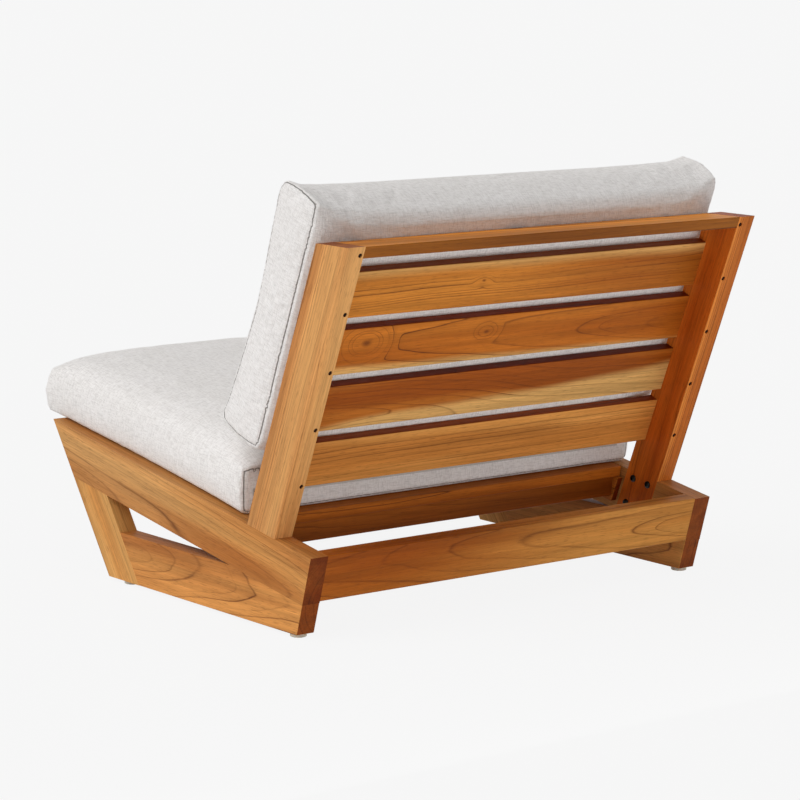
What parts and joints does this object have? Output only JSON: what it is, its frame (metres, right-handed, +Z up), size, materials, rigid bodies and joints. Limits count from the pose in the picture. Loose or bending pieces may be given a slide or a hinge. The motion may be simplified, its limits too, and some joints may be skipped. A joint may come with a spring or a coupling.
{
  "type": "outdoor lounge chair",
  "caption": "Low armless outdoor lounge chair: two mitred side frames of solid boards, a leaning slatted back, a slatted seat deck and loose seat and back cushions.",
  "frame": {"origin": "on the floor, under the middle of the chair's overall width and depth", "axes": "+Z up, the sitter faces -Y, the sitter's left side is +X"},
  "size_m": [0.8, 0.8408, 0.6702],
  "materials": {
    "teak": "satin",
    "beech_dowel": "matte",
    "cover_fabric": "matte",
    "foam": "matte",
    "black_steel": "satin",
    "zinc_steel": "satin",
    "nylon": "satin",
    "zip_tape": "matte"
  },
  "bodies": {
    "frame": {"seat_rail_left": "teak", "seat_rail_right": "teak", "front_leg_left": "teak", "front_leg_right": "teak", "foot_rail_left": "teak", "foot_rail_right": "teak", "back_post_left": "teak", "back_post_right": "teak", "seat_ledger_left": "teak", "seat_ledger_right": "teak", "frame_dowels_left": "beech_dowel", "frame_dowels_right": "beech_dowel", "back_slat_1": "teak", "back_slat_2": "teak", "back_slat_3": "teak", "back_slat_4": "teak", "seat_slat_1": "teak", "seat_slat_2": "teak", "seat_slat_3": "teak", "seat_slat_4": "teak", "seat_slat_5": "teak", "seat_slat_6": "teak", "seat_slat_7": "teak", "glide_front_left": "nylon", "glide_front_right": "nylon", "glide_rear_left": "nylon", "glide_rear_right": "nylon", "back_top_rail": "teak", "rear_crossbar": "teak", "seat_front_beam": "teak", "seat_rear_beam": "teak", "crossbar_dowels": "beech_dowel", "slat_pins": "teak", "top_rail_pins": "teak", "post_bolts": "black_steel", "threaded_inserts": "zinc_steel", "seat_slat_screws": "zinc_steel", "ledger_screws": "zinc_steel", "beam_screws": "zinc_steel"},
    "seat_cushion": {"seat_cushion": "cover_fabric", "seat_foam_core": "foam", "zip_tape": "zip_tape"},
    "back_cushion": {"back_cushion": "cover_fabric", "back_foam_core": "foam"},
    "zip_slider": {"zip_slider": "zinc_steel"},
    "zip_pull": {"zip_pull": "zinc_steel"}
  },
  "joints": [
    {"name": "seat_cushion_lift_off", "type": "slide", "parent": "frame", "child": "seat_cushion", "axis": [0, -0.9877, 0.1564], "range_m": [0, 0.2]},
    {"name": "back_cushion_lift_off", "type": "slide", "parent": "frame", "child": "back_cushion", "axis": [0, 0.3665, 0.9304], "range_m": [0, 0.2]},
    {"name": "zip_slide", "type": "slide", "parent": "seat_cushion", "child": "zip_slider", "axis": [-1, 0, 0], "range_m": [0, 0.719]},
    {"name": "zip_pull_turn", "type": "hinge", "parent": "zip_slider", "child": "zip_pull", "pos_m": [0.3595, 0.15161, 0.19266], "axis": [0, -0.0175, -0.9998], "range_deg": [0, 170]}
  ]
}
